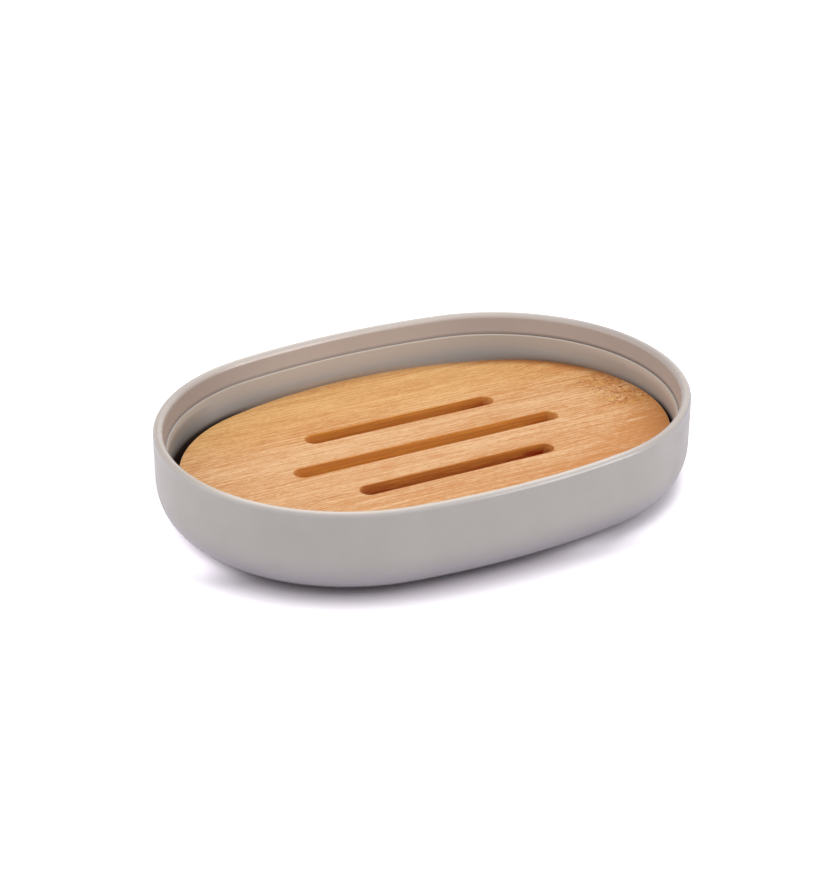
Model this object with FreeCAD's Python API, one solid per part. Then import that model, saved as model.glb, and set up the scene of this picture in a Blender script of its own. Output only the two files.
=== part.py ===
import FreeCAD, Part
import math
import os

# Soap dish: a moulded oval tray with a slotted bamboo insert that lifts out.
#
# Millimetres, +Z up, +X along the dish. The origin is the middle of the foot, at the surface that
# the dish stands on. Each oval is four arcs that meet smoothly: two round ends and two flatter
# sides. A section is drawn once, as inset and height, the inset measured inwards from the oval's
# outline. It is revolved about the centre of each arc in turn, so its edges stay parallel all the
# way round, and every draft, bevel and rounding is a true cone or torus.

# Tray: its outline at the rim, before the rim's edge is rounded
tray_length = 140.0
tray_width = 100.4
tray_height = 23.8
tray_end_share = 0.966             # radius of the round ends, as a share of half the width

# Tray: the moulded wall, from the foot outside, over the rim, to the floor inside
outer_draft = 0.85                 # degrees, the outside narrows towards the foot
heel_radius = 10.7                 # the large rounding between the wall and the foot
rim_thickness = 2.55
rim_outer_radius = 1.1
rim_inner_radius = 1.0
rebate_depth = 5.2                 # the wall is thinner from the rim down to here
rebate_draft = 4.2                 # degrees
ledge_width = 0.55                 # the step where the full wall starts
inner_draft = 0.6                  # degrees
floor_thickness = 2.4
floor_corner_bevel = 4.0           # nearly parallel to the heel, so the wall keeps its thickness there

# Tray: the foot, a flat land round a shallow recess
foot_width = 3.2
foot_recess = 0.6
recess_slope = 45.0                # degrees

# Insert: a bamboo board with three routed slots, loose in the tray
insert_drop = 11.3                 # from the rim down to the board's top face
insert_thickness = 5.0
insert_end_gap = 1.48              # room to the tray's wall at each end, level with the board's top
insert_side_gap = 2.85             # room to the wall at each side
insert_end_share = 0.9             # radius of the round ends, as a share of half the board's width
insert_edge_bevel = 0.45
slot_width = 5.1                   # one pass of a router cutter
slot_pitch = 15.6
middle_slot_length = 74.8
outer_slot_length = 54.0
slot_edge_bevel = 0.3

# Insert: how it lies in its gap, pushed along to the right end and turned a little clockwise
insert_push_share = 0.62           # of the gap at the end
insert_turn_share = 0.28           # of the gap at the end, reached where the turned oval sticks out most

# Ribs on the tray's floor, which carry the insert round its slots and leave them free
rib_top_width = 2.0
rib_draft = 3.0                    # degrees
rib_flare = 0.6                    # the bevel that leads each rib into the floor
rib_slot_clearance = 2.0           # from a rib's root to the nearest slot
rib_foot_overlap = 0.5             # how deep a rib starts inside the floor, to fuse with it
end_rib_length = 46.0
side_rib_length = 40.0

# Construction
section_margin = 1.0               # the swept section reaches this far past its last bevel or slope
cut_overrun = 1.0


def slope(degrees):
    """Sideways run for each unit of height on a face that leans by this angle."""
    return math.tan(math.radians(degrees))


def oval_arcs(length, width, end_share):
    """The four arcs of an oval, each as centre x, centre y, radius, start angle and span, in radians."""
    half_length = length / 2
    half_width = width / 2
    end_radius = half_width * end_share
    end_centre = half_length - end_radius
    side_radius = (end_centre**2 + half_width**2 - end_radius**2) / (2 * (half_width - end_radius))
    side_centre = side_radius - half_width
    end_half_span = math.atan2(side_centre, end_centre)
    side_half_span = math.pi / 2 - end_half_span
    return [
        (end_centre, 0, end_radius, -end_half_span, 2 * end_half_span),
        (0, -side_centre, side_radius, end_half_span, 2 * side_half_span),
        (-end_centre, 0, end_radius, math.pi - end_half_span, 2 * end_half_span),
        (0, side_centre, side_radius, math.pi + end_half_span, 2 * side_half_span),
    ]


def oval_face(arcs, inset, height):
    """A flat face whose outline runs inside the oval, at one inset all round."""
    edges = []
    for centre_x, centre_y, radius, start, span in arcs:
        points = []
        for share in (0, 1 / 2, 1):
            angle = start + span * share
            points.append(FreeCAD.Vector(
                centre_x + (radius - inset) * math.cos(angle),
                centre_y + (radius - inset) * math.sin(angle),
                height,
            ))
        edges.append(Part.Arc(*points).toShape())
    return Part.Face(Part.Wire(Part.__sortEdges__(edges)))


def eased_wire(corners):
    """A closed wire through corners given as a point, a form and a size.

    A round corner gets a tangent arc of that radius, a bevelled one loses that length of both edges,
    and a sharp one stays.
    """
    edges = []
    ends = []
    for index, (corner, form, size) in enumerate(corners):
        if form == "sharp":
            ends.append((corner, corner))
            continue
        before = (corners[index - 1][0] - corner).normalize()
        after = (corners[(index + 1) % len(corners)][0] - corner).normalize()
        if form == "bevel":
            first = corner + before * size
            last = corner + after * size
            edges.append(Part.LineSegment(first, last).toShape())
        else:
            half_angle = before.getAngle(after) / 2
            first = corner + before * (size / math.tan(half_angle))
            last = corner + after * (size / math.tan(half_angle))
            inwards = (before + after).normalize()
            middle = corner + inwards * (size / math.sin(half_angle) - size)
            edges.append(Part.Arc(first, middle, last).toShape())
        ends.append((first, last))
    for index, (first, last) in enumerate(ends):
        edges.append(Part.LineSegment(ends[index - 1][1], first).toShape())
    return Part.Wire(Part.__sortEdges__(edges))


def swept_section(arcs, section):
    """Carry a section once round the oval. Its corners are inset, height, form and size."""
    sectors = []
    for centre_x, centre_y, radius, start, span in arcs:
        corners = []
        for inset, height, form, size in section:
            corners.append((FreeCAD.Vector(radius - inset, 0, height), form, size))
        face = Part.Face(eased_wire(corners))
        face.rotate(FreeCAD.Vector(0, 0, 0), FreeCAD.Vector(0, 0, 1), math.degrees(start))
        centre = FreeCAD.Vector(centre_x, centre_y, 0)
        face.translate(centre)
        sectors.append(face.revolve(centre, FreeCAD.Vector(0, 0, 1), math.degrees(span)))
    return sectors


def rectangle_wire(length, width, height):
    """A rectangle centred on the vertical axis, its length along X."""
    corners = []
    for x, y in ((-length, -width), (length, -width), (length, width), (-length, width), (-length, -width)):
        corners.append(FreeCAD.Vector(x / 2, y / 2, height))
    return Part.makePolygon(corners)


def stadium_wire(length, width, height):
    """A slot's outline, as long and as wide as given over its round ends, along X."""
    half_width = width / 2
    reach = length / 2 - half_width
    corners = []
    for x, y in ((-reach, -half_width), (reach, -half_width), (reach, half_width), (-reach, half_width)):
        corners.append(FreeCAD.Vector(x, y, height))
    right = FreeCAD.Vector(length / 2, 0, height)
    left = FreeCAD.Vector(-length / 2, 0, height)
    return Part.Wire([
        Part.LineSegment(corners[0], corners[1]).toShape(),
        Part.Arc(corners[1], right, corners[2]).toShape(),
        Part.LineSegment(corners[2], corners[3]).toShape(),
        Part.Arc(corners[3], left, corners[0]).toShape(),
    ])


# Sizes that follow from the ones above
tray_arcs = oval_arcs(tray_length, tray_width, tray_end_share)
floor_top = foot_recess + floor_thickness
ledge_height = tray_height - rebate_depth
rebate_root_inset = rim_thickness + rebate_depth * slope(rebate_draft)
ledge_inset = rebate_root_inset + ledge_width
foot_outer_inset = tray_height * slope(outer_draft)
foot_inner_inset = foot_outer_inset + heel_radius + foot_width
recess_inset = foot_inner_inset + foot_recess / slope(recess_slope)
section_inset = recess_inset + section_margin

insert_top = tray_height - insert_drop
insert_bottom = insert_top - insert_thickness
wall_inset = ledge_inset + (ledge_height - insert_top) * slope(inner_draft)
insert_length = tray_length - 2 * (wall_inset + insert_end_gap)
insert_width = tray_width - 2 * (wall_inset + insert_side_gap)
insert_push = insert_end_gap * insert_push_share
insert_turn = math.degrees(math.asin(2 * insert_end_gap * insert_turn_share / (insert_length - insert_width)))

rib_waist_growth = (insert_bottom - floor_top - rib_flare) * slope(rib_draft)
rib_root_growth = rib_waist_growth + rib_flare
rib_stand_off = rib_slot_clearance + rib_root_growth + rib_top_width / 2
end_rib_x = middle_slot_length / 2 + insert_push + rib_stand_off
slot_swing = outer_slot_length / 2 * math.sin(math.radians(insert_turn))
side_rib_y = slot_pitch + slot_width / 2 + slot_swing + rib_stand_off


def tray_shell():
    """Wall, rim, rebate, heel and foot from one swept section, closed by a flat floor."""
    section = [
        (foot_outer_inset, 0, "round", heel_radius),
        (0, tray_height, "round", rim_outer_radius),
        (rim_thickness, tray_height, "round", rim_inner_radius),
        (rebate_root_inset, ledge_height, "sharp", 0),
        (ledge_inset, ledge_height, "sharp", 0),
        (ledge_inset + (ledge_height - floor_top) * slope(inner_draft), floor_top, "bevel", floor_corner_bevel),
        (section_inset, floor_top, "sharp", 0),
        (section_inset, foot_recess, "sharp", 0),
        (recess_inset, foot_recess, "sharp", 0),
        (foot_inner_inset, 0, "sharp", 0),
    ]
    sectors = swept_section(tray_arcs, section)
    floor = oval_face(tray_arcs, section_inset, foot_recess).extrude(FreeCAD.Vector(0, 0, floor_thickness))
    return floor.fuse(sectors).removeSplitter()


def support_rib(length):
    """One rib along X, drafted on all sides, its flared root set into the floor."""
    wires = []
    for height, growth in (
        (floor_top - rib_foot_overlap, rib_root_growth + rib_foot_overlap),
        (floor_top + rib_flare, rib_waist_growth),
        (insert_bottom, 0),
    ):
        wires.append(rectangle_wire(length + 2 * growth, rib_top_width + 2 * growth, height))
    return Part.makeLoft(wires, True, True)


def support_ribs():
    """Two ribs across the ends of the slots and two along their sides."""
    ribs = []
    for side in (-1, 1):
        end_rib = support_rib(end_rib_length)
        end_rib.rotate(FreeCAD.Vector(0, 0, 0), FreeCAD.Vector(0, 0, 1), 90)
        end_rib.translate(FreeCAD.Vector(side * end_rib_x, 0, 0))
        side_rib = support_rib(side_rib_length)
        side_rib.translate(FreeCAD.Vector(0, side * side_rib_y, 0))
        ribs.extend([end_rib, side_rib])
    return ribs


def tray():
    """The whole moulding: the shell with its ribs."""
    return tray_shell().fuse(support_ribs()).removeSplitter()


def bamboo_insert():
    """A board with eased edges and three slots, laid in the tray as it lies there."""
    arcs = oval_arcs(insert_length, insert_width, insert_end_share)
    middle_inset = insert_edge_bevel + section_margin
    section = [
        (0, insert_bottom, "sharp", 0),
        (0, insert_top, "bevel", insert_edge_bevel),
        (middle_inset, insert_top, "sharp", 0),
        (middle_inset, insert_bottom, "sharp", 0),
    ]
    middle = oval_face(arcs, middle_inset, insert_bottom).extrude(FreeCAD.Vector(0, 0, insert_thickness))
    board = middle.fuse(swept_section(arcs, section)).removeSplitter()
    slots = []
    for row, length in ((-1, outer_slot_length), (0, middle_slot_length), (1, outer_slot_length)):
        outline = stadium_wire(length, slot_width, insert_bottom - cut_overrun)
        slot = Part.Face(outline).extrude(FreeCAD.Vector(0, 0, insert_thickness + 2 * cut_overrun))
        slot.translate(FreeCAD.Vector(0, row * slot_pitch, 0))
        slots.append(slot)
    board = board.cut(slots)
    slot_reach = slot_pitch + slot_width
    rims = []
    for edge in board.Edges:
        box = edge.BoundBox
        upper = box.ZMin > (insert_bottom + insert_top) / 2
        if upper and max(abs(box.YMin), abs(box.YMax)) < slot_reach:
            rims.append(edge)
    board = board.makeChamfer(slot_edge_bevel, rims)
    board.rotate(FreeCAD.Vector(0, 0, 0), FreeCAD.Vector(0, 0, 1), -insert_turn)
    board.translate(FreeCAD.Vector(insert_push, 0, 0))
    return board


def main():
    os.makedirs("parts", exist_ok=True)
    for name, build in (("tray", tray), ("bamboo_insert", bamboo_insert)):
        shape = build()
        shape.exportStep("parts/" + name + ".step")
        print(name, "solids", len(shape.Solids), "valid", shape.isValid(), "volume", round(shape.Volume))


main()
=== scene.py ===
import math

import bpy
import numpy as np
from bpy.props import FloatProperty, FloatVectorProperty, PointerProperty
from mathutils import Matrix, Vector
from mathutils.geometry import tessellate_polygon


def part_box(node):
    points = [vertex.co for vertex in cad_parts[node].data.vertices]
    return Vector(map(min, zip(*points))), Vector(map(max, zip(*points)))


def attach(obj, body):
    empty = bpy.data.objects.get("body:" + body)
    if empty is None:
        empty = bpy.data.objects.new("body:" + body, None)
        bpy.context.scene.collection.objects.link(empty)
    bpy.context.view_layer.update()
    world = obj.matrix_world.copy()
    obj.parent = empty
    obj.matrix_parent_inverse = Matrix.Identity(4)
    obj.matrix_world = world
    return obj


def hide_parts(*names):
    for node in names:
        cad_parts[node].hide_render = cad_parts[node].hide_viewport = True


bl_info = {
    "name": "Bamboo Soap Dish",
    "version": (1, 0, 0),
    "blender": (4, 5, 0),
    "location": "3D View > Sidebar > Soap Dish",
    "description": "Builds an oval moulded soap dish with a slotted bamboo insert that lifts out",
    "category": "Object",
}

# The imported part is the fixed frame: metres, +Z up, +X along the dish, its foot at height zero.
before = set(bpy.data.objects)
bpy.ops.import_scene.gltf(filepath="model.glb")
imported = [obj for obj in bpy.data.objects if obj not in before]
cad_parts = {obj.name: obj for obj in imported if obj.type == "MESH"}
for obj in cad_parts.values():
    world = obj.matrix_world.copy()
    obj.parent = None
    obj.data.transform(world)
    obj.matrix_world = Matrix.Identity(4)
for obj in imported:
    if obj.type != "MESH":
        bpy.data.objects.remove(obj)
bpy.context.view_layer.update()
tray_low, tray_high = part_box("tray")
insert_low, insert_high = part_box("bamboo_insert")

MILLIMETRES = 1000.0


def shade(red, green, blue):
    """The linear colour of a shade that is seen on a screen as these three numbers, each up to 255."""
    seen = np.array([red, green, blue]) / 255
    linear = np.where(seen > 0.04045, ((seen + 0.055) / 1.055) ** 2.4, seen / 12.92)
    return tuple(float(value) for value in linear)


# Sizes and colours

# What all lengths, all angles, all colours and all directions have in common.
LENGTH = {"unit": "LENGTH", "precision": 6}
ANGLE = {"unit": "ROTATION", "subtype": "ANGLE"}
COLOUR = {"min": 0, "max": 1, "subtype": "COLOR"}
DIRECTION = {"subtype": "DIRECTION"}


def setting(name, description, default, **more):
    """A number that the panel shows, or three of them for a colour, a place or a direction."""
    kind = FloatVectorProperty if isinstance(default, tuple) else FloatProperty
    return kind(name=name, description=description, default=default, **more)


class TrayProperties(bpy.types.PropertyGroup):
    """Sizes and finish of the moulded tray."""

    length: setting(
        "Length", "Length of the outline at the rim, before the rim is rounded", 0.13996, min=0.05,
        **LENGTH)
    width: setting(
        "Width", "Width of the outline at the rim, before the rim is rounded", 0.1004, min=0.04,
        **LENGTH)
    height: setting(
        "Height", "Height from the foot to the rim", tray_high.z - tray_low.z, min=0.015, **LENGTH)
    end_share: setting(
        "End Radius", "Radius of the round ends, as a share of half the width", 0.966, min=0.5, max=0.99)
    outer_draft: setting("Outer Draft", "Lean of the outside wall", math.radians(0.85), **ANGLE)
    heel_radius: setting(
        "Heel Radius", "Rounding between the wall and the foot", 0.0107, min=0.001, **LENGTH)
    rim_thickness: setting(
        "Rim Thickness", "Thickness of the wall at the rim", 0.00255, min=0.0005, **LENGTH)
    rim_outer_radius: setting(
        "Rim Outer Radius", "Rounding of the rim's outer edge", 0.0011, min=0, **LENGTH)
    rim_inner_radius: setting(
        "Rim Inner Radius", "Rounding of the rim's inner edge", 0.0014, min=0, **LENGTH)
    rebate_depth: setting(
        "Rebate Depth", "From the rim down to the step in the wall", 0.0057, min=0.001, **LENGTH)
    rebate_draft: setting("Rebate Draft", "Lean of the wall above the step", math.radians(4.2), **ANGLE)
    ledge_width: setting("Ledge Width", "Width of the step in the wall", 0.00051, min=0.0001, **LENGTH)
    ledge_rounding: setting(
        "Ledge Rounding", "Rounding of the step's edge and of its root", 0.00016, min=0, **LENGTH)
    inner_draft: setting("Inner Draft", "Lean of the wall below the step", math.radians(0.6), **ANGLE)
    floor_thickness: setting("Floor Thickness", "Thickness of the floor", 0.0024, min=0.0005, **LENGTH)
    floor_rounding: setting(
        "Floor Rounding", "Rounding between the wall and the floor inside", 0.0044, min=0, **LENGTH)
    foot_width: setting(
        "Foot Width", "Width of the flat land that the dish stands on", 0.0032, min=0.0005, **LENGTH)
    foot_recess: setting(
        "Foot Recess", "Depth of the recess under the floor", 0.0006, min=0.0001, **LENGTH)
    foot_rounding: setting("Foot Rounding", "Rounding of the recess's edges", 0.0002, min=0, **LENGTH)
    plastic: setting("Plastic", "Colour of the moulding", shade(204, 198, 198), **COLOUR)
    plastic_mottle: setting(
        "Mottle", "Colour that the moulding drifts towards in soft clouds", shade(201, 195, 194),
        **COLOUR)
    # Painted light: a lighter, less pink copy of the moulding's colour for the inside.
    plastic_lit_inside: setting("Inside", "Colour of the moulding's inside", shade(207, 206, 206), **COLOUR)
    # Painted highlight: stands in for the glint on the rim's inner edge.
    plastic_lip_highlight: setting("Lip", "Colour of the glinting lip of the rim", shade(237, 227, 219), **COLOUR)
    # Painted highlight: the colour that lightens the step's edge.
    plastic_ledge_highlight: setting(
        "Ledge", "Colour of the rubbed edge of the step", shade(226, 219, 209), **COLOUR)
    roughness: setting(
        "Roughness", "Roughness of the satin finish", 0.46, min=0.05, max=1, subtype="FACTOR")


class RibProperties(bpy.types.PropertyGroup):
    """Sizes of the ribs on the tray's floor, which carry the insert."""

    top_width: setting("Top Width", "Width of a rib at its top", 0.002, min=0.0005, **LENGTH)
    draft: setting("Draft", "Lean of a rib's sides", math.radians(3.0), **ANGLE)
    flare: setting("Flare", "Size of the bevel that leads a rib into the floor", 0.0006, min=0, **LENGTH)
    foot_overlap: setting(
        "Foot Overlap", "How deep a rib starts inside the floor", 0.0005, min=0, **LENGTH)
    edge_rounding: setting(
        "Edge Rounding", "Rounding of a rib's upright corners", 0.0004, min=0.0001, **LENGTH)
    end_length: setting(
        "End Rib Length", "Length of the ribs across the slots' ends", 0.046, min=0.005, **LENGTH)
    side_length: setting(
        "Side Rib Length", "Length of the ribs beside the slots", 0.04, min=0.005, **LENGTH)
    end_place: setting(
        "End Rib Place", "Distance of the end ribs from the middle", 0.042122, min=0.005, **LENGTH)
    side_place: setting(
        "Side Rib Place", "Distance of the side ribs from the middle", 0.022483, min=0.005, **LENGTH)


class InsertProperties(bpy.types.PropertyGroup):
    """Sizes, place and finish of the bamboo insert."""

    length: setting("Length", "Length of the board", 0.129949, min=0.03, **LENGTH)
    width: setting("Width", "Width of the board", 0.087609, min=0.02, **LENGTH)
    end_share: setting(
        "End Radius", "Radius of the round ends, as a share of half the width", 0.9, min=0.5, max=0.99)
    bottom: setting("Bottom", "Height of the underside", insert_low.z, **LENGTH)
    top: setting("Top", "Height of the top face", insert_high.z, **LENGTH)
    edge_rounding: setting("Edge Rounding", "Easing of the board's upper edge", 0.00038, min=0, **LENGTH)
    lower_rounding: setting("Lower Rounding", "Easing of the lower edges", 0.00025, min=0, **LENGTH)
    slot_width: setting("Slot Width", "Width of the drain slots", 0.0051, min=0.001, **LENGTH)
    slot_pitch: setting("Slot Pitch", "Distance from one slot to the next", 0.0156, min=0.002, **LENGTH)
    middle_slot_length: setting(
        "Middle Slot", "Length of the middle slot over its round ends", 0.0748, min=0.01, **LENGTH)
    outer_slot_length: setting(
        "Outer Slots", "Length of the two outer slots over their round ends", 0.054, min=0.01, **LENGTH)
    slot_rounding: setting("Slot Rounding", "Easing of the slots' upper edges", 0.00035, min=0, **LENGTH)
    push: setting("Push", "How far the board lies towards the right end", 0.000918, **LENGTH)
    turn: setting("Turn", "How far the board lies turned in its gap", math.radians(-1.12163), **ANGLE)
    bamboo: setting("Bamboo", "Main colour of the bamboo", shade(255, 206, 138), **COLOUR)
    bamboo_pale: setting(
        "Pale Side", "Colour of the paler strips in front", shade(255, 210, 160), **COLOUR)
    bamboo_deep: setting("Deep Streaks", "Colour of the darker fibres", shade(221, 148, 82), **COLOUR)
    bamboo_node: setting(
        "Node Flecks", "Colour of the flecks where the stem had a node", shade(164, 90, 38), **COLOUR)
    # Painted shade: the colour that the board's edge darkens to next to the wall.
    bamboo_edge_shade: setting(
        "Soaked Edge", "Colour of the dark edge at the back", shade(120, 60, 18), **COLOUR)
    # Painted shade: the colour that the slots' walls darken to low down.
    bamboo_slot_shade: setting(
        "Scorched Walls", "Colour that the cutter left deep in the slots", shade(168, 44, 0), **COLOUR)
    bamboo_burr: setting(
        "Cut Streaks", "Colour of the darker fibres in the routed walls", shade(222, 140, 60), **COLOUR)
    bamboo_cut: setting("Cut Walls", "Colour of the routed walls", shade(255, 172, 57), **COLOUR)
    roughness: setting(
        "Roughness", "Roughness of the sanded and oiled face", 0.52, min=0.05, max=1, subtype="FACTOR")


class StageProperties(bpy.types.PropertyGroup):
    """Floor, light and camera."""

    camera_place: setting(
        "Camera Place", "Where the camera stands", (-0.262434, -0.472431, 0.282933),
        subtype="TRANSLATION", **LENGTH)
    camera_azimuth: setting(
        "Azimuth", "How far the camera looks from the side", math.radians(-28.681), **ANGLE)
    camera_elevation: setting(
        "Elevation", "How steeply the camera looks down", math.radians(26.428), **ANGLE)
    lens: setting("Lens", "Focal length in millimetres", 98.455, min=20)
    sky_strength: setting("Sky", "Strength of the soft light from all round", 0.50, min=0)
    right_box: setting("Right Box", "Strength of the soft box behind on the right", 0.4, min=0)
    right_direction: setting(
        "Right Direction", "Direction towards the right soft box", (0.64, 0.64, 0.46), **DIRECTION)
    left_box: setting("Left Box", "Strength of the soft box behind on the left", 0.6, min=0)
    left_direction: setting(
        "Left Direction", "Direction towards the left soft box", (-0.75, 0.35, 0.60), **DIRECTION)
    front_box: setting("Front Box", "Strength of the soft box high in front", 0.8, min=0)
    front_direction: setting(
        "Front Direction", "Direction towards the front soft box", (0.36, -0.42, 0.83), **DIRECTION)
    rim_box: setting("Rim Box", "Strength of the small box that only glints on the rim", 3.0, min=0)
    rim_direction: setting(
        "Rim Direction", "Direction towards the small box", (0.604, -0.720, 0.342), **DIRECTION)
    rim_box_spread: setting(
        "Rim Box Spread", "Apparent size of the small box", math.radians(36.0), **ANGLE)
    box_spread: setting("Box Spread", "Apparent size of the soft boxes", math.radians(48.0), **ANGLE)
    box_colour: setting("Box Colour", "Warmth of the soft boxes", (1.0, 0.97, 0.92), **COLOUR)
    floor_size: setting("Floor Size", "Length of the floor's side", 6.0, min=0.5, **LENGTH)


# Surfaces


def oval_path(length, width, end_share, end_points, side_points):
    """The path round an oval of four arcs that meet smoothly.

    Each end is an arc of radius r = end_share * width / 2, its centre on the long axis. Each side is
    an arc about a point of the short axis, with the one radius at which it touches both ends. The
    result is centre, radius and outward direction at every point, so that the outline at any inset
    is centre + (radius - inset) * direction.
    """
    half_length, half_width = length / 2, width / 2
    end_radius = half_width * end_share
    end_centre = half_length - end_radius
    side_radius = (end_centre**2 + half_width**2 - end_radius**2) / (2 * (half_width - end_radius))
    side_centre = side_radius - half_width
    end_half_span = math.atan2(side_centre, end_centre)
    ends = np.linspace(-end_half_span, end_half_span, end_points, endpoint=False)
    sides = np.linspace(end_half_span, math.pi - end_half_span, side_points, endpoint=False)
    angle = np.concatenate([ends, sides, ends + math.pi, sides + math.pi])
    counts = [end_points, side_points, end_points, side_points]
    centre = np.repeat(
        [(end_centre, 0), (0, -side_centre), (-end_centre, 0), (0, side_centre)], counts, axis=0)
    radius = np.repeat([end_radius, side_radius, end_radius, side_radius], counts)
    return centre, radius, np.stack([np.cos(angle), np.sin(angle)], axis=1)


def stadium_path(length, width, end_points, side_points):
    """The path round a slot: half circles about both ends of a middle line, and straight sides.

    As in oval_path, a point of the outline is centre + radius * direction. Along the straight sides
    the centre travels on the middle line and the direction stays square to it.
    """
    half_width = width / 2
    reach = length / 2 - half_width
    travel = np.linspace(reach, -reach, side_points, endpoint=False)
    turn = np.linspace(-math.pi / 2, math.pi / 2, end_points, endpoint=False)
    centre_x = np.concatenate(
        [np.full(end_points, reach), travel, np.full(end_points, -reach), -travel])
    angle = np.concatenate([
        turn, np.full(side_points, math.pi / 2), turn + math.pi, np.full(side_points, -math.pi / 2)])
    centre = np.stack([centre_x, np.zeros_like(centre_x)], axis=1)
    return centre, np.full(len(centre_x), half_width), np.stack([np.cos(angle), np.sin(angle)], axis=1)


def eased_section(corners, steps):
    """A section line through corners given as inset, height and rounding.

    At a corner with rounding r, half its angle a, the line leaves both edges at r / tan(a) and
    follows the arc that touches them. Every straight run gets a point close to each end, which
    keeps the shading of the flat and the round parts apart.
    """
    points = np.array([(inset, height) for inset, height, _ in corners])
    runs = []
    for index, (_, _, rounding) in enumerate(corners):
        corner = points[index]
        if rounding == 0:
            runs.append(corner[None])
            continue
        before = points[index - 1] - corner
        after = points[index + 1] - corner
        before, after = before / np.linalg.norm(before), after / np.linalg.norm(after)
        half_angle = math.acos(float(before @ after)) / 2
        towards = (before + after) / np.linalg.norm(before + after)
        centre = corner + towards * rounding / math.sin(half_angle)
        first = corner + before * rounding / math.tan(half_angle) - centre
        last = corner + after * rounding / math.tan(half_angle) - centre
        sweep = math.pi - 2 * half_angle
        share = np.linspace(0, 1, steps + 1)[:, None]
        runs.append(centre + (np.sin((1 - share) * sweep) * first + np.sin(share * sweep) * last)
                    / math.sin(sweep))
    close = 0.00015
    line = [runs[0]]
    for before, after in zip(runs, runs[1:]):
        step = after[0] - before[-1]
        margin = min(0.25, close / max(np.linalg.norm(step), 1e-9))
        line.append(before[-1] + step * np.array([[margin], [1 - margin]]))
        line.append(after)
    return np.concatenate(line)


def carried_section(path, section, growing=1.0):
    """The section carried round the path: rows of centre + (radius - growing * inset) * direction."""
    centre, radius, direction = path
    reach = radius[None, :, None] - growing * section[:, 0][:, None, None]
    flat = centre[None] + reach * direction[None]
    height = np.broadcast_to(section[:, 1][:, None, None], flat.shape[:2] + (1,))
    return np.concatenate([flat, height], axis=2)


def row_faces(rows, columns, first=0):
    """Four-sided faces between neighbouring rows of a surface whose columns close round on themselves."""
    column = np.arange(columns)
    following = (column + 1) % columns
    row = first + columns * np.arange(rows - 1)[:, None]
    quads = np.stack([row + column, row + following, row + columns + following, row + columns + column],
                     axis=2)
    return quads.reshape(-1, 4)


def rise(values, start, end):
    """Goes straight from 0 to 1 while the values go from start to end."""
    return np.clip((values - start) / (end - start), 0, 1)


def new_object(name, data):
    """Puts the data into the scene as an object."""
    made = bpy.data.objects.new(name, data)
    bpy.context.scene.collection.objects.link(made)
    return made


def add_piece(name, vertices, faces, body, material, attributes):
    """Makes the mesh of one piece, shaded smooth, and lets it ride on its body."""
    mesh = bpy.data.meshes.new(name)
    mesh.from_pydata(vertices.tolist(), [], [face.tolist() for group in faces for face in group])
    mesh.validate()
    mesh.shade_smooth()
    for attribute, values in attributes.items():
        layer = mesh.attributes.new(attribute, "FLOAT", "POINT")
        layer.data.foreach_set("value", values.astype(np.float32))
    mesh.materials.append(material)
    piece = new_object(name, mesh)
    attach(piece, body)
    return piece


# Finishes

# In the finishes, places and heights are in millimetres. These are shades that parts drift towards,
# most of them painted shade or painted light.
SPECK = shade(150, 140, 135)
COOL_HEEL_SHADE = shade(190, 184, 197)
SHADED_HEEL = shade(110, 112, 120)
RIGHT_WALL_SHADE = shade(172, 166, 174)
UPPER_WALL_SHADE = shade(110, 88, 80)
LOWER_WALL_SHADE = shade(62, 50, 46)
CREASE_SHADE = shade(92, 78, 72)
BOUNCE_GLOW = shade(250, 214, 172)
FAINT_BOUNCE_GLOW = shade(196, 160, 128)
GAP_SHADOW = shade(40, 12, 4)
DEEPEST_GAP_SHADOW = shade(34, 18, 10)
SCUFFED_FOOT = shade(222, 218, 214)
NODE_BLOOM = shade(246, 200, 112)
ARRIS_HIGHLIGHT = shade(255, 214, 164)
END_GRAIN_AND_LIGHT = shade(252, 206, 150)


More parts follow.
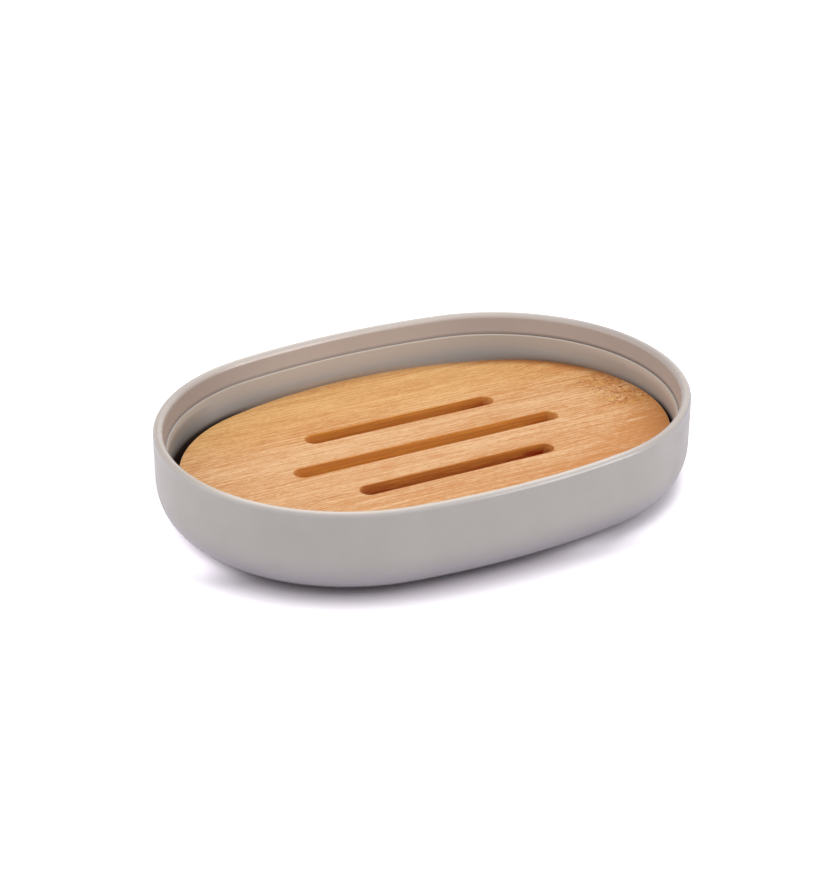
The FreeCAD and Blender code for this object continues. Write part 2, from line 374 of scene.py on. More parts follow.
class NodeSheet:
    """Adds the nodes of one material or world and joins them."""

    def __init__(self, owner):
        owner.use_nodes = True
        self.tree = owner.node_tree
        self.tree.nodes.clear()

    def node(self, kind, inputs, output=0, **settings):
        """Adds a node, sets it, feeds its inputs with numbers or sockets, and returns one output."""
        made = self.tree.nodes.new(kind)
        for name, value in settings.items():
            setattr(made, name, value)
        for key, value in inputs.items():
            if isinstance(value, bpy.types.NodeSocket):
                self.tree.links.new(value, made.inputs[key])
            else:
                made.inputs[key].default_value = value
        return made.outputs[output] if made.outputs else made

    def maths(self, operation, *values):
        """One arithmetic step on numbers or sockets."""
        return self.node("ShaderNodeMath", dict(enumerate(values)), operation=operation)

    def times(self, first, second):
        """The product of two numbers or sockets."""
        return self.maths("MULTIPLY", first, second)

    def plus(self, first, second):
        """The sum of two numbers or sockets."""
        return self.maths("ADD", first, second)

    def minus(self, first, second):
        """The first number or socket less the second."""
        return self.maths("SUBTRACT", first, second)

    def larger(self, first, second):
        """The larger of two numbers or sockets."""
        return self.maths("MAXIMUM", first, second)

    def object_place(self):
        """The place on the piece, in metres."""
        return self.node("ShaderNodeTexCoord", {}, output=3)

    def parts(self, vector):
        """The three parts of a vector."""
        return self.node("ShaderNodeSeparateXYZ", {"Vector": vector}).node.outputs

    def reach(self, spot, x, y):
        """How far a spot, given by its parts, lies in the direction (x, y)."""
        return self.plus(self.times(spot[0], x), self.times(spot[1], y))

    def attribute(self, name):
        """A share that the piece holds at each of its vertices."""
        return self.node("ShaderNodeAttribute", {}, output=2, attribute_name=name)

    def placed(self, vector, scale, location=(0, 0, 0), rotation=(0, 0, 0)):
        """The vector scaled, then turned, then moved."""
        inputs = {"Vector": vector, "Scale": scale, "Location": location, "Rotation": rotation}
        return self.node("ShaderNodeMapping", inputs)

    def noise(self, vector, scale=1.0, detail=2.0, roughness=0.5):
        """Soft clouds from 0 to 1."""
        inputs = {"Vector": vector, "Scale": scale, "Detail": detail, "Roughness": roughness}
        return self.node("ShaderNodeTexNoise", inputs)

    def fade(self, value, start, end, low=0.0, high=1.0):
        """Goes smoothly from low to high while the value goes from start to end."""
        inputs = {"Value": value, "From Min": start, "From Max": end, "To Min": low, "To Max": high}
        return self.node("ShaderNodeMapRange", inputs, interpolation_type="SMOOTHSTEP")

    def mixed(self, share, first, second):
        """A colour on the way from the first to the second, each a socket or three numbers."""
        first, second = (
            colour if isinstance(colour, bpy.types.NodeSocket) else (*colour, 1.0)
            for colour in (first, second))
        return self.node("ShaderNodeMix", {0: share, 6: first, 7: second}, output=2, data_type="RGBA")

    def seen(self):
        """One for rays that see plain white: from the camera, off a gloss or through glass."""
        rays = self.node("ShaderNodeLightPath", {}).node.outputs
        seen = self.larger(rays["Is Camera Ray"], rays["Is Glossy Ray"])
        return self.larger(seen, rays["Is Transmission Ray"])

    def finish(self, colour, roughness, relief, strength, depth, specular):
        """The finish itself, with its fine relief, joined to the output."""
        normal = self.node("ShaderNodeBump", {"Height": relief, "Strength": strength, "Distance": depth})
        inputs = {"Base Color": colour, "Roughness": roughness, "Normal": normal,
                  "Specular IOR Level": specular}
        shader = self.node("ShaderNodeBsdfPrincipled", inputs)
        self.node("ShaderNodeOutputMaterial", {"Surface": shader})


def satin_plastic(tray):
    """Warm grey moulding: a fine texture, soft clouds of tone, painted shade in crevices, painted
    highlights and a scuffed foot.
    """
    material = bpy.data.materials.new("satin_plastic")
    sheet = NodeSheet(material)
    place = sheet.placed(sheet.object_place(), (MILLIMETRES,) * 3)
    spot = sheet.parts(place)
    along, height = spot[0], spot[2]
    inner, lower, crease, ledge, lip = map(sheet.attribute, ("inner", "lower", "crease", "ledge", "lip"))
    outer = sheet.minus(1.0, inner)
    upper = sheet.minus(inner, lower)
    clouds = sheet.noise(place, 0.09, 3.0, 0.55)
    specks = sheet.noise(place, 2.2, 3.0, 0.7)
    grain = sheet.noise(place, 5.0, 2.0, 0.6)
    colour = sheet.mixed(sheet.fade(clouds, 0.35, 0.65), tray.plastic, tray.plastic_mottle)
    colour = sheet.mixed(sheet.fade(specks, 0.62, 0.80, 0.0, 0.10), colour, SPECK)
    # Painted light: the lower inside takes a lighter, less pink copy of the moulding's colour.
    colour = sheet.mixed(lower, colour, tray.plastic_lit_inside)

    # Painted shade outside: the heel is cooler and darker near the foot, darker still towards the right,
    # and the wall at the right end is darkened.
    heel = sheet.times(sheet.fade(height, 12.0, 2.0, 0.0, 0.9), outer)
    colour = sheet.mixed(heel, colour, COOL_HEEL_SHADE)
    heel = sheet.times(heel, sheet.fade(along, 0.0, 36.0, 0.0, 0.22))
    colour = sheet.mixed(heel, colour, SHADED_HEEL)
    right_wall_shade = sheet.times(sheet.fade(along, 42.0, 64.0), sheet.fade(height, 16.0, 22.0, 0.5, 0.85))
    colour = sheet.mixed(sheet.times(right_wall_shade, outer), colour, RIGHT_WALL_SHADE)
    # Painted highlight: the lip is lightened where the rim's inner edge glints.
    colour = sheet.mixed(lip, colour, tray.plastic_lip_highlight)

    # Painted shade: the walls inside grow dim towards both ends of the long diagonal, most next to the
    # board.
    rightward = sheet.reach(spot, 0.92, -0.39)
    leftward = sheet.times(rightward, -1.0)
    dim = sheet.larger(
        sheet.fade(leftward, 28.0, 62.0, 0.0, 0.36), sheet.fade(rightward, 40.0, 60.0, 0.0, 0.16))
    lip_shade = sheet.larger(
        sheet.fade(leftward, 46.0, 62.0, 0.0, 0.42), sheet.fade(rightward, 38.0, 56.0, 0.0, 0.40))
    dim = sheet.larger(sheet.times(upper, dim), sheet.times(lip, lip_shade))
    colour = sheet.mixed(dim, colour, UPPER_WALL_SHADE)
    dim = sheet.larger(
        sheet.fade(leftward, 48.0, 62.0, 0.0, 0.55), sheet.fade(rightward, 36.0, 62.0, 0.0, 0.36))
    dim = sheet.times(dim, sheet.fade(height, 17.8, 15.2))
    dim = sheet.larger(dim, sheet.fade(leftward, 22.0, 50.0, 0.0, 0.14))
    colour = sheet.mixed(sheet.times(lower, dim), colour, LOWER_WALL_SHADE)
    # Painted shade: a dark line on the wall just above the step.
    crease = sheet.times(crease, sheet.fade(rightward, 0.0, 50.0, 0.62, 0.85))
    colour = sheet.mixed(crease, colour, CREASE_SHADE)
    # Painted highlight on the step's edge, weaker towards the left end.
    ledge = sheet.times(ledge, sheet.fade(leftward, 36.0, 60.0, 0.85, 0.25))
    colour = sheet.mixed(ledge, colour, tray.plastic_ledge_highlight)

    # The occlusion tells how near the board is. Painted light: the wall beside it catches a glow from the
    # wood, except at the ends, where a painted shadow darkens the gap under it. Both go when the board is
    # lifted.
    nearby = sheet.node("ShaderNodeAmbientOcclusion", {"Distance": 0.006}, output=1, samples=8)
    ends = sheet.larger(sheet.fade(leftward, 48.0, 62.0), sheet.fade(rightward, 50.0, 62.0))
    warm_bounce = sheet.times(sheet.fade(nearby, 0.61, 0.50, 0.0, 0.7), sheet.minus(lower, ends))
    from_back = sheet.maths("ABSOLUTE", sheet.plus(rightward, 10.0))
    glow = sheet.mixed(sheet.fade(from_back, 14.0, 32.0), BOUNCE_GLOW, FAINT_BOUNCE_GLOW)
    colour = sheet.mixed(sheet.larger(warm_bounce, 0.0), colour, glow)
    right_gap_shadow = sheet.times(
        sheet.larger(sheet.fade(nearby, 0.66, 0.46, 0.0, 0.78), sheet.fade(height, 13.5, 11.9)),
        sheet.plus(
            sheet.fade(rightward, 50.0, 62.0, 0.0, 0.45), sheet.fade(rightward, 61.5, 64.5, 0.0, 0.45)))
    left_gap_shadow = sheet.larger(
        sheet.times(sheet.fade(nearby, 0.66, 0.46, 0.0, 0.35), sheet.fade(leftward, 48.0, 62.0)),
        sheet.times(sheet.fade(height, 11.6, 9.9, 0.0, 0.95), sheet.fade(leftward, 38.0, 50.0)))
    gap = sheet.times(sheet.larger(right_gap_shadow, left_gap_shadow), sheet.fade(nearby, 0.84, 0.70))
    colour = sheet.mixed(sheet.times(gap, lower), colour, GAP_SHADOW)
    # Painted shadow, darkest of all, low in the gap next to the board.
    deepest_shadow = sheet.times(sheet.fade(nearby, 0.46, 0.24), sheet.fade(height, 12.2, 11.2))
    colour = sheet.mixed(deepest_shadow, colour, DEEPEST_GAP_SHADOW)

    scuff = sheet.times(sheet.fade(height, 1.4, 0.1), sheet.fade(specks, 0.40, 0.62))
    colour = sheet.mixed(sheet.times(scuff, 0.25), colour, SCUFFED_FOOT)
    roughness = sheet.fade(clouds, 0.3, 0.7, tray.roughness - 0.04, tray.roughness + 0.05)
    roughness = sheet.plus(roughness, sheet.times(scuff, 0.2))
    roughness = sheet.minus(roughness, sheet.fade(height, 22.2, 22.8, 0.0, 0.16))
    relief = sheet.plus(grain, sheet.times(specks, 0.5))
    sheet.finish(colour, roughness, relief, strength=0.35, depth=0.00003, specular=0.42)
    return material


def oiled_bamboo(insert):
    """Sanded bamboo: straight fibres along the board, streaks, strips, one node and routed walls."""
    material = bpy.data.materials.new("oiled_bamboo")
    sheet = NodeSheet(material)
    place = sheet.placed(
        sheet.object_place(), (MILLIMETRES,) * 3,
        location=(-insert.push * MILLIMETRES, 0, 0), rotation=(0, 0, -insert.turn))
    spot = sheet.parts(place)
    along, across = spot[0], spot[1]

    # The stem's node: a patch near the right end where the fibres swirl and brown flecks gather.
    from_node = sheet.maths("ABSOLUTE", sheet.minus(along, 59.0))
    beside_node = sheet.maths("ABSOLUTE", sheet.minus(across, 6.5))
    near_node = sheet.times(sheet.fade(from_node, 9.0, 3.5), sheet.fade(beside_node, 12.5, 7.0))
    swirl = sheet.noise(place, 0.55, 2.0, 0.5)
    wander = sheet.times(sheet.minus(swirl, 0.5), sheet.times(near_node, 3.5))
    drift = sheet.times(sheet.minus(sheet.noise(place, 0.03), 0.5), 2.4)
    shifted = sheet.node("ShaderNodeCombineXYZ", {"X": 0.0, "Y": sheet.plus(wander, drift), "Z": 0.0})
    flowing = sheet.node("ShaderNodeVectorMath", {0: place, 1: shifted}, operation="ADD")

    def streaks(scale_along, scale_across, detail, roughness, location=(0, 0, 0)):
        """Clouds drawn out along the fibres."""
        scale = (scale_along, scale_across, scale_across)
        return sheet.noise(sheet.placed(flowing, scale, location=location), 1.0, detail, roughness)

    grain = streaks(0.022, 2.15, 2.0, 0.6)
    fibres = streaks(0.20, 2.9, 2.0, 0.6)
    dashes = streaks(0.85, 2.6, 2.0, 0.65)
    veins = streaks(0.018, 0.85, 1.0, 0.4, (7.3, 2.1, 0))
    flecks = streaks(0.80, 1.30, 2.0, 0.7)
    blooms = streaks(0.20, 0.26, 1.0, 0.5, (3.1, 8.2, 0))
    clouds = sheet.noise(sheet.placed(place, (0.02, 0.09, 0.09)), 1.0, 2.0, 0.5)

    # How deep the tone is: streaks, fibres, dashes and slow drifts, added up about a mean. Painted shade
    # deepens it in front, at the right end and at both corners there, where the walls shade the board; it
    # is paler at the back.
    depth = 0.5
    stronger = sheet.larger(
        sheet.fade(along, 25.0, 58.0, 1.0, 1.5), sheet.fade(along, -34.0, -52.0, 1.0, 1.25))
    for pattern, strength in ((grain, 1.6), (fibres, 1.0), (dashes, 1.0), (clouds, 0.45)):
        change = sheet.times(sheet.minus(pattern, 0.5), sheet.times(stronger, strength))
        depth = sheet.plus(depth, change)
    for change in (
            sheet.fade(across, -2.0, -34.0, 0.0, 0.16),
            sheet.fade(across, 25.0, 36.0, 0.0, -0.08),
            sheet.fade(along, 44.0, 62.0, 0.0, 0.26),
            sheet.fade(sheet.reach(spot, 0.6, -0.8), 34.0, 46.0, 0.0, 0.30),
            sheet.fade(sheet.reach(spot, 0.6, 0.8), 47.0, 55.0, 0.0, 0.30)):
        depth = sheet.plus(depth, change)
    pale = sheet.mixed(sheet.fade(across, 30.0, 8.0), insert.bamboo, insert.bamboo_pale)
    colour = sheet.mixed(sheet.fade(depth, 0.0, 1.0), pale, insert.bamboo_deep)
    colour = sheet.mixed(sheet.fade(veins, 0.66, 0.74, 0.0, 0.25), colour, insert.bamboo_node)
    bloom = sheet.times(near_node, sheet.fade(blooms, 0.48, 0.62, 0.0, 0.35))
    colour = sheet.mixed(bloom, colour, NODE_BLOOM)
    marked = sheet.times(near_node, sheet.fade(flecks, 0.51, 0.60))
    colour = sheet.mixed(sheet.times(marked, 0.62), colour, insert.bamboo_node)

    # Painted shade: the board's edge is darkened at the back and towards the right, next to the wall.
    edge, wall, end_grain, burn = map(sheet.attribute, ("edge", "wall", "end_grain", "burn"))
    leaning = sheet.reach(spot, 0.35, 1.0)
    edge_shade = sheet.times(sheet.fade(edge, 0.25, 0.98), sheet.fade(leaning, 18.0, 48.0))
    edge_shade = sheet.times(edge_shade, sheet.fade(along, 20.0, 46.0, 0.34, 0.80))
    colour = sheet.mixed(edge_shade, colour, insert.bamboo_edge_shade)

    # Painted highlight: the upper arris is lightened, most at the left and in front.
    highlit = sheet.times(sheet.fade(edge, 0.93, 0.97), sheet.fade(leaning, 26.0, -4.0, 0.25, 0.8))
    colour = sheet.mixed(highlit, colour, ARRIS_HIGHLIGHT)

    # The routed walls are browner than the face. Their ends are paler, partly end grain and partly
    # painted light, with pores, and painted shade darkens the walls low down.
    cut = sheet.mixed(sheet.fade(grain, 0.36, 0.64, 0.0, 0.75), insert.bamboo_cut, insert.bamboo_burr)
    colour = sheet.mixed(sheet.times(wall, 0.85), colour, cut)
    colour = sheet.mixed(sheet.times(end_grain, 0.35), colour, END_GRAIN_AND_LIGHT)
    pores = sheet.node(
        "ShaderNodeTexVoronoi", {"Vector": sheet.placed(place, (0.3, 1.5, 1.5)), "Scale": 1.0})
    dots = sheet.times(end_grain, sheet.fade(pores, 0.36, 0.10))
    colour = sheet.mixed(sheet.times(dots, 0.3), colour, insert.bamboo_node)
    slot_shaded = sheet.times(burn, sheet.fade(fibres, 0.32, 0.68, 0.55, 1.0))
    colour = sheet.mixed(slot_shaded, colour, insert.bamboo_slot_shade)

    roughness = sheet.fade(fibres, 0.3, 0.7, insert.roughness - 0.06, insert.roughness + 0.08)
    roughness = sheet.plus(roughness, sheet.times(wall, 0.15))
    relief = sheet.plus(sheet.times(grain, 0.6), sheet.times(dashes, 0.7))
    relief = sheet.minus(relief, sheet.times(marked, 0.4))
    sheet.finish(colour, roughness, relief, strength=0.2, depth=0.00006, specular=0.22)
    return material


# Pieces


def tray_sizes(tray):
    """Sizes of the tray that follow from the ones that are set."""
    floor_top = tray.foot_recess + tray.floor_thickness
    ledge_height = tray.height - tray.rebate_depth
    rebate_root = tray.rim_thickness + tray.rebate_depth * math.tan(tray.rebate_draft)
    ledge_edge = rebate_root + tray.ledge_width
    floor_edge = ledge_edge + (ledge_height - floor_top) * math.tan(tray.inner_draft)
    foot_outer = tray.height * math.tan(tray.outer_draft)
    foot_inner = foot_outer + tray.heel_radius + tray.foot_width
    return floor_top, ledge_height, rebate_root, ledge_edge, floor_edge, foot_outer, foot_inner


class SOAPDISH_OT_tray(bpy.types.Operator):
    """Build the moulded tray from one section carried round its oval"""

    bl_idname = "soapdish.tray"
    bl_label = "Build Tray"
    bl_options = {"REGISTER", "UNDO"}

    def execute(self, context):
        tray = context.scene.soapdish_tray
        (floor_top, ledge_height, rebate_root, ledge_edge, floor_edge, foot_outer,
         foot_inner) = tray_sizes(tray)
        recess_edge = foot_inner + tray.foot_recess
        flat_margin = 0.001
        crease_top = ledge_height + 0.001
        section = eased_section([
            (recess_edge + flat_margin, tray.foot_recess, 0),
            (recess_edge, tray.foot_recess, tray.foot_rounding),
            (foot_inner, 0, tray.foot_rounding),
            (foot_outer, 0, tray.heel_radius),
            (0, tray.height, tray.rim_outer_radius),
            (tray.rim_thickness, tray.height, tray.rim_inner_radius),
            (rebate_root - (crease_top - ledge_height) * math.tan(tray.rebate_draft), crease_top, 0),
            (rebate_root, ledge_height, tray.ledge_rounding),
            (ledge_edge, ledge_height, tray.ledge_rounding),
            (floor_edge, floor_top, tray.floor_rounding),
            (floor_edge + tray.floor_rounding + flat_margin, floor_top, 0),
        ], steps=12)
        path = oval_path(tray.length, tray.width, tray.end_share, end_points=150, side_points=56)
        columns = len(path[1])
        rows = carried_section(path, section)

        # Both flats close by rings that shrink towards the middle: ring * share, share from 1 to 0.
        rings = np.array([0.8, 0.55, 0.3, 0.08])[:, None, None]
        shrink = np.concatenate([np.repeat(rings, 2, axis=2), np.ones_like(rings)], axis=2)
        under, inside = rows[0][None] * shrink[::-1], rows[-1][None] * shrink
        surface = np.concatenate([under, rows, inside])
        count = len(surface)
        poles = np.array([(0, 0, tray.foot_recess), (0, 0, floor_top)])
        vertices = np.concatenate([surface.reshape(-1, 3), poles])
        column = np.arange(columns)
        following = (column + 1) % columns
        under_pole, inside_pole = count * columns, count * columns + 1
        last_row = (count - 1) * columns
        fans = [
            np.stack([np.full(columns, under_pole), following, column], axis=1),
            np.stack([last_row + column, last_row + following, np.full(columns, inside_pole)], axis=1),
        ]

        # The zones of the section, for the finish: each is a share per row, the same all the way round.
        inset, height = section.T
        beyond_rim = np.arange(len(inset)) > int(np.argmax(height))
        within = beyond_rim & (inset > tray.rim_thickness - 0.0002)
        above_ledge = inset < rebate_root + tray.ledge_rounding / 2
        upon_ledge = inset > rebate_root + 0.0001
        lip = rise(inset, 0.00035, 0.0008) * (1 - 0.45 * rise(inset, 0.0012, 0.0016))
        shares = {
            "inner": within,
            "lower": within & (inset > ledge_edge - tray.ledge_rounding),
            "crease": within * above_ledge * rise(height, crease_top, ledge_height),
            "ledge": within * upon_ledge * rise(height, ledge_height - 0.0004, ledge_height - 0.0001),
            "lip": lip * rise(height, tray.height - 0.0012, tray.height - 0.0005),
        }
        zones = {}
        for zone, share in shares.items():
            row = np.concatenate([np.zeros(len(under)), share, np.full(len(inside), share[-1])])
            zones[zone] = np.append(np.repeat(row, columns), (0, row[-1]))
        piece = add_piece(
            "tray_shell", vertices, [row_faces(count, columns), *fans], "dish",
            satin_plastic(tray), zones)
        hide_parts("tray")
        return {"FINISHED"}


class SOAPDISH_OT_ribs(bpy.types.Operator):
    """Build the four drafted ribs that carry the insert"""

    bl_idname = "soapdish.ribs"
    bl_label = "Build Ribs"
    bl_options = {"REGISTER", "UNDO"}

    def execute(self, context):
        tray, ribs = context.scene.soapdish_tray, context.scene.soapdish_ribs
        insert = context.scene.soapdish_insert
        floor_top = tray_sizes(tray)[0]
        waist = (insert.bottom - floor_top - ribs.flare) * math.tan(ribs.draft)
        root = waist + ribs.flare
        rounding = ribs.edge_rounding
        flare_rounding, top_rounding, flat_margin = 0.0004, 0.00025, 0.00035
        section = eased_section([
            (-root - ribs.foot_overlap, floor_top - ribs.foot_overlap, 0),
            (-waist, floor_top + ribs.flare, flare_rounding),
            (0, insert.bottom, top_rounding),
            (flat_margin, insert.bottom, 0),
        ], steps=5)
        corner_points = 7
        columns = 4 * corner_points
        corner_angle = np.linspace(0, math.pi / 2, corner_points)
        angle = np.concatenate([corner_angle + quarter * math.pi / 2 for quarter in range(4)])
        direction = np.stack([np.cos(angle), np.sin(angle)], axis=1)
        signs = np.repeat([(1, 1), (-1, 1), (-1, -1), (1, -1)], corner_points, axis=0)
        vertices, faces, first = [], [], 0
        for x, y, length, turned in (
                (-ribs.end_place, 0, ribs.end_length, True), (ribs.end_place, 0, ribs.end_length, True),
                (0, -ribs.side_place, ribs.side_length, False),
                (0, ribs.side_place, ribs.side_length, False)):
            half = np.array([length / 2 - rounding, ribs.top_width / 2 - rounding])
            surface = carried_section((signs * half, np.full(columns, rounding), direction), section)
            points = surface.reshape(-1, 3)
            if turned:
                points = points[:, [1, 0, 2]] * np.array([-1, 1, 1])
            vertices.append(points + np.array([x, y, 0]))
            foot = first + np.arange(columns)[None]
            faces.append(row_faces(len(surface), columns, first))
            faces += [foot[:, ::-1], foot + len(points) - columns]
            first += len(points)
        piece = add_piece(
            "tray_ribs", np.concatenate(vertices), faces, "dish",
            bpy.data.materials["satin_plastic"], {"inner": np.ones(first), "lower": np.ones(first)})
        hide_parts("tray")
        return {"FINISHED"}


class SOAPDISH_OT_insert(bpy.types.Operator):
    """Build the slotted bamboo insert as it lies in the tray"""

    bl_idname = "soapdish.insert"
    bl_label = "Build Bamboo Insert"
    bl_options = {"REGISTER", "UNDO"}

    def execute(self, context):
        insert = context.scene.soapdish_insert
        top = insert.top
        edge_margin, edge_zone = 0.0012, 0.0058
        end_shadow = 0.7
        outer_section = eased_section([
            (edge_margin, insert.bottom, 0),
            (0, insert.bottom, insert.lower_rounding),
            (0, top, insert.edge_rounding),
            (edge_margin, top, 0),
            (edge_zone, top, 0),
        ], steps=8)
        slot_section = eased_section([
            (edge_margin, top, 0),
            (0, top, insert.slot_rounding),
            *((0, top - depth, 0) for depth in (0.001, 0.0018, 0.0026)),
            (0, insert.bottom, insert.lower_rounding),
            (edge_margin, insert.bottom, 0),
        ], steps=8)
        outer = oval_path(insert.length, insert.width, insert.end_share, end_points=130, side_points=60)
        outlines = [(outer, outer_section, 1.0, 0.0, 0.0, 0.0)]

        # Painted shade darkens the slots' walls low down, most near the right ends, and each slot's walls
        # are darker by an amount of their own.
        for row, length, depth_shade, wall_darkening in (
                (-1, insert.outer_slot_length, 0.56, 0.30), (0, insert.middle_slot_length, 0.08, 0.0),
                (1, insert.outer_slot_length, 0.34, 0.04)):
            slot = stadium_path(length, insert.slot_width, end_points=28, side_points=60)
            outlines.append((slot, slot_section, -1.0, row * insert.slot_pitch, depth_shade, wall_darkening))

        vertices, faces, tops, bottoms = [], [], [], []
        shares = {"wall": [], "end_grain": [], "edge": [], "burn": []}
        first = 0
        for path, section, growing, offset, depth_shade, wall_darkening in outlines:
            surface = carried_section(path, section, growing) + np.array([0, offset, 0])
            count, columns = surface.shape[:2]
            vertices.append(surface.reshape(-1, 3))
            faces.append(row_faces(count, columns, first))
            inset, height = section[:, :1], section[:, 1:]
            outward = path[2]
            is_slot = growing < 0
            kept_face = 0.0 if is_slot else 0.5 + 0.5 * rise(height, top - 0.0022, top)
            wall = rise(inset, 0.0003, 0.0) * (1 - kept_face) * np.ones(columns)
            from_end = surface[0, :, 0] - surface[0, :, 0].max()
            near_end = rise(from_end, -0.011, -0.005) * (outward[:, 1] > 0.9)
            low_down = rise(height, top - 0.0008, top - 0.003)
            burn = low_down * (depth_shade + end_shadow * near_end) + wall_darkening * wall
            shares["wall"].append(wall)
            shares["end_grain"].append(wall * np.abs(outward[:, 0]))
            shares["edge"].append(rise(inset, edge_zone, 0.0) * (not is_slot) * np.ones(columns))
            shares["burn"].append(wall * burn * is_slot)
            low, high = first + np.arange(columns), first + (count - 1) * columns + np.arange(columns)
            bottoms.append(high if is_slot else low)
            tops.append(low if is_slot else high)
            first += count * columns
        points = np.concatenate(vertices)
        for rings, upwards in ((tops, True), (bottoms, False)):
            filled = np.array(tessellate_polygon([[Vector(p) for p in points[ring]] for ring in rings]))
            triangles = np.concatenate(rings)[filled]
            a, b, c = (points[triangles[:, side], :2] for side in range(3))
            area = (b - a)[:, 0] * (c - a)[:, 1] - (b - a)[:, 1] * (c - a)[:, 0]
            faces.append(triangles if (area.sum() > 0) == upwards else triangles[:, ::-1])

        # The board lies turned in its gap and pushed to the right end.
        cosine, sine = math.cos(insert.turn), math.sin(insert.turn)
        turned = points @ np.array([(cosine, sine, 0), (-sine, cosine, 0), (0, 0, 1)])
        turned[:, 0] += insert.push
        attributes = {name: np.concatenate([share.ravel() for share in parts])
                      for name, parts in shares.items()}
        piece = add_piece(
            "bamboo_board", turned, faces, "insert", oiled_bamboo(insert), attributes)
        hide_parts("bamboo_insert")
        return {"FINISHED"}


# Stage


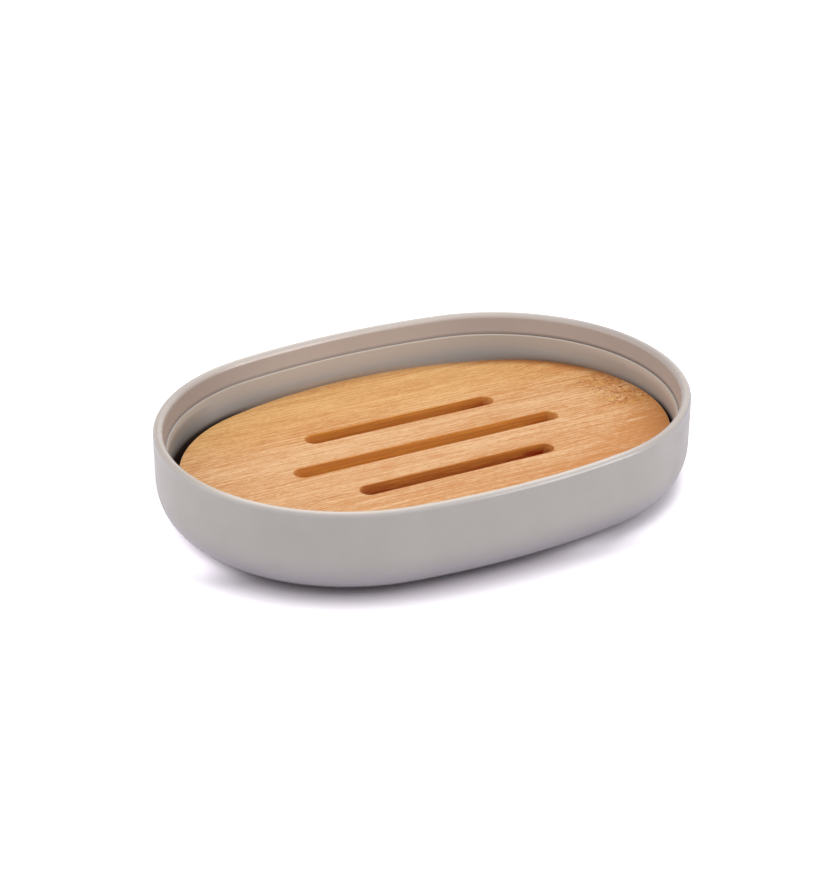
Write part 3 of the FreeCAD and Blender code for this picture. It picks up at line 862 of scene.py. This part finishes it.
class SOAPDISH_OT_stage(bpy.types.Operator):
    """Lay the white floor, hang the soft light and place the camera"""

    bl_idname = "soapdish.stage"
    bl_label = "Set Stage"
    bl_options = {"REGISTER", "UNDO"}

    def execute(self, context):
        stage = context.scene.soapdish_stage
        self.lay_floor(stage)
        self.light(stage)
        self.place_camera(stage)
        return {"FINISHED"}

    def lay_floor(self, stage):
        """A wide white floor just under the foot, which shows as white and still takes the shadow.

        What the camera sees of it is tinted by the occlusion under the dish, which shapes the contact
        shadow: lighter at the left, deep in front, and darkest in a line under the right of the heel.
        """
        half = stage.floor_size / 2
        below = -0.00005
        mesh = bpy.data.meshes.new("floor")
        mesh.from_pydata(
            [(-half, -half, below), (half, -half, below), (half, half, below), (-half, half, below)],
            [], [(0, 1, 2, 3)])
        material = bpy.data.materials.new("white_floor")
        sheet = NodeSheet(material)
        open_air = sheet.node("ShaderNodeAmbientOcclusion", {"Distance": 0.010}, output=1, samples=12)
        spot = sheet.parts(sheet.object_place())
        in_front = sheet.reach(spot, -0.342, -0.940)
        to_right = sheet.reach(spot, 0.877, -0.480)
        beside = sheet.mixed(sheet.fade(to_right, -0.028, -0.046), (1.95, 1.90, 2.06), (2.75, 2.66, 2.90))
        contact = sheet.mixed(sheet.fade(in_front, 0.029, 0.042), beside, (0.95, 0.90, 0.98))
        tint = sheet.mixed(sheet.fade(open_air, 0.42, 0.92), contact, (1.62, 1.60, 1.72))
        under_heel = sheet.times(sheet.fade(open_air, 0.10, 0.30), sheet.fade(open_air, 0.60, 0.38))
        under_heel = sheet.times(under_heel, sheet.fade(to_right, 0.036, 0.048, 0.0, 0.47))
        tint = sheet.mixed(under_heel, tint, (0.04, 0.04, 0.06))
        dull = sheet.node("ShaderNodeBsdfDiffuse", {"Color": (*shade(226, 226, 226), 1.0)})
        white = sheet.node("ShaderNodeBsdfDiffuse", {"Color": tint})
        shown = sheet.node("ShaderNodeMixShader", {0: sheet.seen(), 1: dull, 2: white})
        sheet.node("ShaderNodeOutputMaterial", {"Surface": shown})
        mesh.materials.append(material)
        new_object("floor", mesh)

    def light(self, stage):
        """Soft light from all round, three soft boxes and a small one for the rim's glint."""
        world = bpy.data.worlds.new("studio")
        bpy.context.scene.world = world
        sheet = NodeSheet(world)
        white = (1.0, 1.0, 1.0, 1.0)
        soft = sheet.node("ShaderNodeBackground", {"Color": white, "Strength": stage.sky_strength})
        plain = sheet.node("ShaderNodeBackground", {"Color": white, "Strength": 1.0})
        shown = sheet.node("ShaderNodeMixShader", {0: sheet.seen(), 1: soft, 2: plain})
        sheet.node("ShaderNodeOutputWorld", {"Surface": shown})
        for name in ("right", "left", "front", "rim"):
            lamp = bpy.data.lights.new(name + "_box", "SUN")
            lamp.energy = getattr(stage, name + "_box")
            lamp.color = stage.box_colour
            lamp.angle = stage.rim_box_spread if name == "rim" else stage.box_spread
            box = new_object(name + "_box", lamp)
            towards = Vector(getattr(stage, name + "_direction")).normalized()
            turned = towards.to_track_quat("Z", "Y").to_matrix().to_4x4()
            box.matrix_world = Matrix.Translation(towards) @ turned
            box.visible_diffuse = name != "rim"

    def place_camera(self, stage):
        """Its axes: back = (sin a cos e, -cos a cos e, sin e), right level, up square to both."""
        camera = bpy.data.cameras.new("camera")
        camera.lens = stage.lens
        camera.sensor_width = 36.0
        camera.clip_start, camera.clip_end = 0.01, 20.0
        azimuth, elevation = stage.camera_azimuth, stage.camera_elevation
        back = Vector((math.sin(azimuth) * math.cos(elevation), -math.cos(azimuth) * math.cos(elevation),
                       math.sin(elevation)))
        right = Vector((math.cos(azimuth), math.sin(azimuth), 0))
        axes = Matrix((right, back.cross(right), back)).transposed()
        placed = new_object("camera", camera)
        placed.matrix_world = Matrix.Translation(stage.camera_place) @ axes.to_4x4()
        bpy.context.scene.camera = placed
        bpy.context.scene.view_settings.view_transform = "Standard"


# Panel and registration

SETTINGS = (
    ("soapdish_tray", TrayProperties),
    ("soapdish_ribs", RibProperties),
    ("soapdish_insert", InsertProperties),
    ("soapdish_stage", StageProperties),
)
STEPS = (SOAPDISH_OT_tray, SOAPDISH_OT_ribs, SOAPDISH_OT_insert, SOAPDISH_OT_stage)


class SOAPDISH_PT_sidebar(bpy.types.Panel):
    """Lists the sizes, the colours and the steps that build the dish"""

    bl_idname = "SOAPDISH_PT_sidebar"
    bl_label = "Soap Dish"
    bl_space_type = "VIEW_3D"
    bl_region_type = "UI"
    bl_category = "Soap Dish"

    def draw(self, context):
        for (pointer, kind), step in zip(SETTINGS, STEPS):
            box = self.layout.box()
            for name in kind.__annotations__:
                box.prop(getattr(context.scene, pointer), name)
            box.operator(step.bl_idname)


CLASSES = tuple(kind for _, kind in SETTINGS) + STEPS + (SOAPDISH_PT_sidebar,)


def register():
    for kind in CLASSES:
        bpy.utils.register_class(kind)
    for pointer, kind in SETTINGS:
        setattr(bpy.types.Scene, pointer, PointerProperty(type=kind))


def unregister():
    for pointer, _ in SETTINGS:
        delattr(bpy.types.Scene, pointer)
    for kind in reversed(CLASSES):
        bpy.utils.unregister_class(kind)


def main():
    """Builds the dish and its stage."""
    register()
    bpy.ops.soapdish.tray()
    bpy.ops.soapdish.ribs()
    bpy.ops.soapdish.insert()
    bpy.ops.soapdish.stage()


if __name__ == "__main__":
    main()
